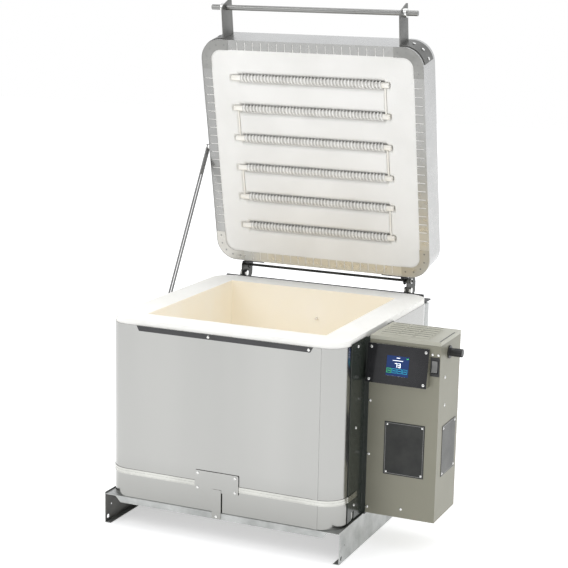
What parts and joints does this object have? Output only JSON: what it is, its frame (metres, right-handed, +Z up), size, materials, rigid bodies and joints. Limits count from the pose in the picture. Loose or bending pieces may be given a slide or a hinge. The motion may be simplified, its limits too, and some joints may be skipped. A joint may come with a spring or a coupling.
{
  "type": "bead annealing kiln",
  "caption": "Top-loading electric annealing kiln with a hinged element lid, handle bar, lid stay, steel-wrapped brick chamber, base skirts and a side control box.",
  "frame": {"origin": "middle of the model's box, on the surface that the kiln stands on", "axes": "+Z up, -Y out of the front, +X towards the control box; the lid's hinge runs along X"},
  "size_m": [0.7778, 0.6334, 1.1646],
  "materials": {
    "galvanised": "galvanised sheet",
    "firebrick": "soft firebrick",
    "stainless": "polished stainless sheet",
    "stainless_bright": "bright stainless strap",
    "black_trim": "gloss black",
    "screws": "bright zinc",
    "black_steel": "satin black",
    "dark_steel": "dark oxide",
    "ceramic": "glazed ceramic",
    "black_gloss": "gloss black",
    "box_paint": "greenish grey powder coat",
    "screen": "lit display",
    "black_plastic": "moulded black",
    "label_black": "printed aluminium",
    "label_grey": "printed aluminium",
    "circuit": "circuit board",
    "lid_steel": "brushed stainless",
    "board": "ceramic fibre board",
    "coil_wire": "oxidised heating wire",
    "arm_steel": "grey steel",
    "rod_steel": "satin steel"
  },
  "bodies": {
    "kiln": {"base_pan": "galvanised", "floor_slab": "firebrick", "chamber_walls": "firebrick", "shell": "stainless", "front_strip": "black_trim", "tension_band": "stainless_bright", "band_plate": "stainless_bright", "hold_down_tab": "stainless_bright", "shell_screws": "screws", "rear_cover": "galvanised", "hinge_rail": "black_steel", "hinge_post_left": "dark_steel", "hinge_post_right": "dark_steel", "hinge_rod": "dark_steel", "hinge_nuts": "screws", "stay_pin": "screws", "thermocouple": "ceramic", "box_bracket": "black_gloss", "control_box": "box_paint", "louvre_cover": "box_paint", "bezel": "box_paint", "display_panel": "black_trim", "display_screen": "screen", "switch_frame": "black_plastic", "fuse_holder": "black_plastic", "front_label": "label_black", "side_label": "label_grey", "box_screws": "screws", "control_board": "circuit", "relays": "black_plastic", "terminal_block": "ceramic", "transformer": "dark_steel"},
    "lid": {"lid_band": "lid_steel", "lid_corner_plates": "lid_steel", "lid_cover": "lid_steel", "lid_board": "board", "element_rods": "ceramic", "element_coils": "coil_wire", "element_jumpers": "ceramic", "handle_arm_left": "arm_steel", "handle_arm_right": "arm_steel", "handle_rod": "rod_steel", "handle_collars": "screws", "lid_bolts": "screws", "lid_hinge_plates": "black_steel", "stay_bolt": "screws"},
    "stay": {"lid_stay": "arm_steel"},
    "rocker": {"switch_rocker": "black_plastic"},
    "cap": {"fuse_cap": "black_plastic"}
  },
  "joints": [
    {"name": "lid_hinge", "type": "hinge", "parent": "kiln", "child": "lid", "pos_m": [-0.0891, 0.2703, 0.5045], "axis": [1, 0, 0], "range_deg": [0, 78.2]},
    {"name": "stay_pivot", "type": "hinge", "parent": "lid", "child": "stay", "pos_m": [-0.3806, 0.19871, 0.80215], "axis": [1, 0, 0], "range_deg": [-39.1, 0]},
    {"name": "power_switch", "type": "hinge", "parent": "kiln", "child": "rocker", "pos_m": [0.3479, -0.17341, 0.4215], "axis": [1, 0, 0], "range_deg": [0, 14]},
    {"name": "fuse_cap_turn", "type": "hinge", "parent": "kiln", "child": "cap", "pos_m": [0.3589, -0.11971, 0.443], "axis": [1, 0, 0], "range_deg": [0, 60]}
  ],
  "couplings": [
    {"joint": "stay_pivot", "follows": "lid_hinge", "ratio": -0.5}
  ]
}
